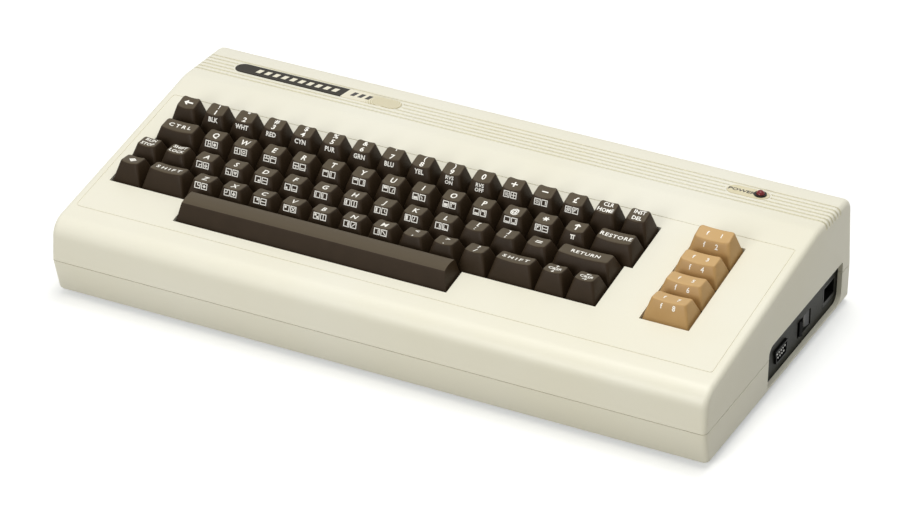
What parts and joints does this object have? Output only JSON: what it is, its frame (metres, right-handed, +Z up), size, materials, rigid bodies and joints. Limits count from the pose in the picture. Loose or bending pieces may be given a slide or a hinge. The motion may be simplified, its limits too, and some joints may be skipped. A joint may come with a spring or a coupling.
{
  "type": "home computer with built-in keyboard",
  "caption": "Home computer in a wedge-shaped moulded case with a built-in keyboard, tan function keys, power lamp, side switch panel and rear connector openings.",
  "frame": {"origin": "on the table, below the middle of the case", "axes": "+X along the width to the right, +Y to the rear, +Z up"},
  "size_m": [0.405, 0.204, 0.0797],
  "materials": {
    "case": "fine moulded grain",
    "badge": "printed face",
    "lamp_badge": "satin metal look",
    "lamp": "clear red",
    "black": "satin",
    "switch_board": "laminate",
    "steel": "plated",
    "circuit_board": "solder mask",
    "chip": "moulded",
    "board_part": "sleeved",
    "aluminium": "milled",
    "shield": "tinned",
    "socket_black": "moulded",
    "foot": "matt",
    "lead": "sleeve",
    "key_dark": "fine grain",
    "key_tan": "fine grain",
    "switch": "polished"
  },
  "bodies": {
    "case": {"top_shell": "case", "bottom_shell": "case", "name_badge": "badge", "lamp_plate": "lamp_badge", "power_lamp": "lamp", "lamp_holder": "black", "keyboard_frame": "black", "keyboard_board": "switch_board", "key_springs": "steel", "main_board": "circuit_board", "chips": "chip", "board_parts": "board_part", "heat_sink": "aluminium", "shield_can": "shield", "expansion_socket": "black", "din_sockets": "socket_black", "control_port": "socket_black", "switch_housing": "socket_black", "power_inlet": "socket_black", "side_panel": "black", "rubber_feet": "foot", "case_screws": "steel", "inner_screws": "steel", "inner_leads": "lead"},
    "key_left_arrow": {"key_left_arrow": "key_dark"},
    "key_ctrl": {"key_ctrl": "key_dark"},
    "key_run_stop": {"key_run_stop": "key_dark"},
    "key_shift_lock": {"key_shift_lock": "key_dark"},
    "key_symbol": {"key_symbol": "key_dark"},
    "key_left_shift": {"key_left_shift": "key_dark"},
    "key_right_shift": {"key_right_shift": "key_dark"},
    "key_cursor_down": {"key_cursor_down": "key_dark"},
    "key_cursor_right": {"key_cursor_right": "key_dark"},
    "key_return": {"key_return": "key_dark"},
    "key_restore": {"key_restore": "key_dark"},
    "key_insert_delete": {"key_insert_delete": "key_dark"},
    "key_clear_home": {"key_clear_home": "key_dark"},
    "space_bar": {"space_bar": "key_dark"},
    "key_f1": {"key_f1": "key_tan"},
    "key_f3": {"key_f3": "key_tan"},
    "key_f5": {"key_f5": "key_tan"},
    "key_f7": {"key_f7": "key_tan"},
    "keys_1_3_5": {"keys_1_3_5": "key_dark"},
    "keys_7_9_plus_pound": {"keys_7_9_plus_pound": "key_dark"},
    "keys_w_r": {"keys_w_r": "key_dark"},
    "keys_y_i_p_star": {"keys_y_i_p_star": "key_dark"},
    "keys_a_d_g": {"keys_a_d_g": "key_dark"},
    "keys_j_l_semicolon": {"keys_j_l_semicolon": "key_dark"},
    "keys_x_v": {"keys_x_v": "key_dark"},
    "keys_n_comma_slash": {"keys_n_comma_slash": "key_dark"},
    "keys_z_c_b": {"keys_z_c_b": "key_dark"},
    "keys_m_point": {"keys_m_point": "key_dark"},
    "keys_s_f": {"keys_s_f": "key_dark"},
    "keys_h_k_colon_equals": {"keys_h_k_colon_equals": "key_dark"},
    "keys_q_e_t": {"keys_q_e_t": "key_dark"},
    "keys_u_o_at_up": {"keys_u_o_at_up": "key_dark"},
    "keys_2_4": {"keys_2_4": "key_dark"},
    "keys_6_8_0_minus": {"keys_6_8_0_minus": "key_dark"},
    "space_bar_wire": {"space_bar_wire": "steel"},
    "power_rocker": {"power_rocker": "switch"}
  },
  "joints": [
    {"name": "key_left_arrow_press", "type": "slide", "parent": "case", "child": "key_left_arrow", "axis": [0, 0.1478, -0.989], "range_m": [0, 0.004], "stiffness_N_per_m": 85, "springref_m": -0.003},
    {"name": "key_ctrl_press", "type": "slide", "parent": "case", "child": "key_ctrl", "axis": [0, 0.1478, -0.989], "range_m": [0, 0.004], "stiffness_N_per_m": 85, "springref_m": -0.003},
    {"name": "key_run_stop_press", "type": "slide", "parent": "case", "child": "key_run_stop", "axis": [0, 0.1478, -0.989], "range_m": [0, 0.004], "stiffness_N_per_m": 85, "springref_m": -0.003},
    {"name": "key_shift_lock_press", "type": "slide", "parent": "case", "child": "key_shift_lock", "axis": [0, 0.1478, -0.989], "range_m": [0, 0.004], "stiffness_N_per_m": 85, "springref_m": -0.003},
    {"name": "key_symbol_press", "type": "slide", "parent": "case", "child": "key_symbol", "axis": [0, 0.1478, -0.989], "range_m": [0, 0.004], "stiffness_N_per_m": 85, "springref_m": -0.003},
    {"name": "key_left_shift_press", "type": "slide", "parent": "case", "child": "key_left_shift", "axis": [0, 0.1478, -0.989], "range_m": [0, 0.004], "stiffness_N_per_m": 85, "springref_m": -0.003},
    {"name": "key_right_shift_press", "type": "slide", "parent": "case", "child": "key_right_shift", "axis": [0, 0.1478, -0.989], "range_m": [0, 0.004], "stiffness_N_per_m": 85, "springref_m": -0.003},
    {"name": "key_cursor_down_press", "type": "slide", "parent": "case", "child": "key_cursor_down", "axis": [0, 0.1478, -0.989], "range_m": [0, 0.004], "stiffness_N_per_m": 85, "springref_m": -0.003},
    {"name": "key_cursor_right_press", "type": "slide", "parent": "case", "child": "key_cursor_right", "axis": [0, 0.1478, -0.989], "range_m": [0, 0.004], "stiffness_N_per_m": 85, "springref_m": -0.003},
    {"name": "key_return_press", "type": "slide", "parent": "case", "child": "key_return", "axis": [0, 0.1478, -0.989], "range_m": [0, 0.004], "stiffness_N_per_m": 85, "springref_m": -0.003},
    {"name": "key_restore_press", "type": "slide", "parent": "case", "child": "key_restore", "axis": [0, 0.1478, -0.989], "range_m": [0, 0.004], "stiffness_N_per_m": 85, "springref_m": -0.003},
    {"name": "key_insert_delete_press", "type": "slide", "parent": "case", "child": "key_insert_delete", "axis": [0, 0.1478, -0.989], "range_m": [0, 0.004], "stiffness_N_per_m": 85, "springref_m": -0.003},
    {"name": "key_clear_home_press", "type": "slide", "parent": "case", "child": "key_clear_home", "axis": [0, 0.1478, -0.989], "range_m": [0, 0.004], "stiffness_N_per_m": 85, "springref_m": -0.003},
    {"name": "space_bar_press", "type": "slide", "parent": "case", "child": "space_bar", "axis": [0, 0.1478, -0.989], "range_m": [0, 0.004], "stiffness_N_per_m": 85, "springref_m": -0.003},
    {"name": "key_f1_press", "type": "slide", "parent": "case", "child": "key_f1", "axis": [0, 0.1478, -0.989], "range_m": [0, 0.004], "stiffness_N_per_m": 85, "springref_m": -0.003},
    {"name": "key_f3_press", "type": "slide", "parent": "case", "child": "key_f3", "axis": [0, 0.1478, -0.989], "range_m": [0, 0.004], "stiffness_N_per_m": 85, "springref_m": -0.003},
    {"name": "key_f5_press", "type": "slide", "parent": "case", "child": "key_f5", "axis": [0, 0.1478, -0.989], "range_m": [0, 0.004], "stiffness_N_per_m": 85, "springref_m": -0.003},
    {"name": "key_f7_press", "type": "slide", "parent": "case", "child": "key_f7", "axis": [0, 0.1478, -0.989], "range_m": [0, 0.004], "stiffness_N_per_m": 85, "springref_m": -0.003},
    {"name": "keys_1_3_5_press", "type": "slide", "parent": "case", "child": "keys_1_3_5", "axis": [0, 0.1478, -0.989], "range_m": [0, 0.004], "stiffness_N_per_m": 85, "springref_m": -0.003},
    {"name": "keys_7_9_plus_pound_press", "type": "slide", "parent": "case", "child": "keys_7_9_plus_pound", "axis": [0, 0.1478, -0.989], "range_m": [0, 0.004], "stiffness_N_per_m": 85, "springref_m": -0.003},
    {"name": "keys_w_r_press", "type": "slide", "parent": "case", "child": "keys_w_r", "axis": [0, 0.1478, -0.989], "range_m": [0, 0.004], "stiffness_N_per_m": 85, "springref_m": -0.003},
    {"name": "keys_y_i_p_star_press", "type": "slide", "parent": "case", "child": "keys_y_i_p_star", "axis": [0, 0.1478, -0.989], "range_m": [0, 0.004], "stiffness_N_per_m": 85, "springref_m": -0.003},
    {"name": "keys_a_d_g_press", "type": "slide", "parent": "case", "child": "keys_a_d_g", "axis": [0, 0.1478, -0.989], "range_m": [0, 0.004], "stiffness_N_per_m": 85, "springref_m": -0.003},
    {"name": "keys_j_l_semicolon_press", "type": "slide", "parent": "case", "child": "keys_j_l_semicolon", "axis": [0, 0.1478, -0.989], "range_m": [0, 0.004], "stiffness_N_per_m": 85, "springref_m": -0.003},
    {"name": "keys_x_v_press", "type": "slide", "parent": "case", "child": "keys_x_v", "axis": [0, 0.1478, -0.989], "range_m": [0, 0.004], "stiffness_N_per_m": 85, "springref_m": -0.003},
    {"name": "keys_n_comma_slash_press", "type": "slide", "parent": "case", "child": "keys_n_comma_slash", "axis": [0, 0.1478, -0.989], "range_m": [0, 0.004], "stiffness_N_per_m": 85, "springref_m": -0.003},
    {"name": "keys_z_c_b_press", "type": "slide", "parent": "case", "child": "keys_z_c_b", "axis": [0, 0.1478, -0.989], "range_m": [0, 0.004], "stiffness_N_per_m": 85, "springref_m": -0.003},
    {"name": "keys_m_point_press", "type": "slide", "parent": "case", "child": "keys_m_point", "axis": [0, 0.1478, -0.989], "range_m": [0, 0.004], "stiffness_N_per_m": 85, "springref_m": -0.003},
    {"name": "keys_s_f_press", "type": "slide", "parent": "case", "child": "keys_s_f", "axis": [0, 0.1478, -0.989], "range_m": [0, 0.004], "stiffness_N_per_m": 85, "springref_m": -0.003},
    {"name": "keys_h_k_colon_equals_press", "type": "slide", "parent": "case", "child": "keys_h_k_colon_equals", "axis": [0, 0.1478, -0.989], "range_m": [0, 0.004], "stiffness_N_per_m": 85, "springref_m": -0.003},
    {"name": "keys_q_e_t_press", "type": "slide", "parent": "case", "child": "keys_q_e_t", "axis": [0, 0.1478, -0.989], "range_m": [0, 0.004], "stiffness_N_per_m": 85, "springref_m": -0.003},
    {"name": "keys_u_o_at_up_press", "type": "slide", "parent": "case", "child": "keys_u_o_at_up", "axis": [0, 0.1478, -0.989], "range_m": [0, 0.004], "stiffness_N_per_m": 85, "springref_m": -0.003},
    {"name": "keys_2_4_press", "type": "slide", "parent": "case", "child": "keys_2_4", "axis": [0, 0.1478, -0.989], "range_m": [0, 0.004], "stiffness_N_per_m": 85, "springref_m": -0.003},
    {"name": "keys_6_8_0_minus_press", "type": "slide", "parent": "case", "child": "keys_6_8_0_minus", "axis": [0, 0.1478, -0.989], "range_m": [0, 0.004], "stiffness_N_per_m": 85, "springref_m": -0.003},
    {"name": "wire_turn", "type": "hinge", "parent": "case", "child": "space_bar_wire", "pos_m": [-0.0519, -0.05821, 0.05074], "axis": [1, 0, 0], "range_deg": [0, 23.07]},
    {"name": "rocker_tilt", "type": "hinge", "parent": "case", "child": "power_rocker", "pos_m": [0.1939, 0.042, 0.016], "axis": [0, 0, -1], "range_deg": [0, 16]}
  ],
  "couplings": [
    {"joint": "wire_turn", "follows": "space_bar_press", "rad_per_m": 100.63}
  ]
}
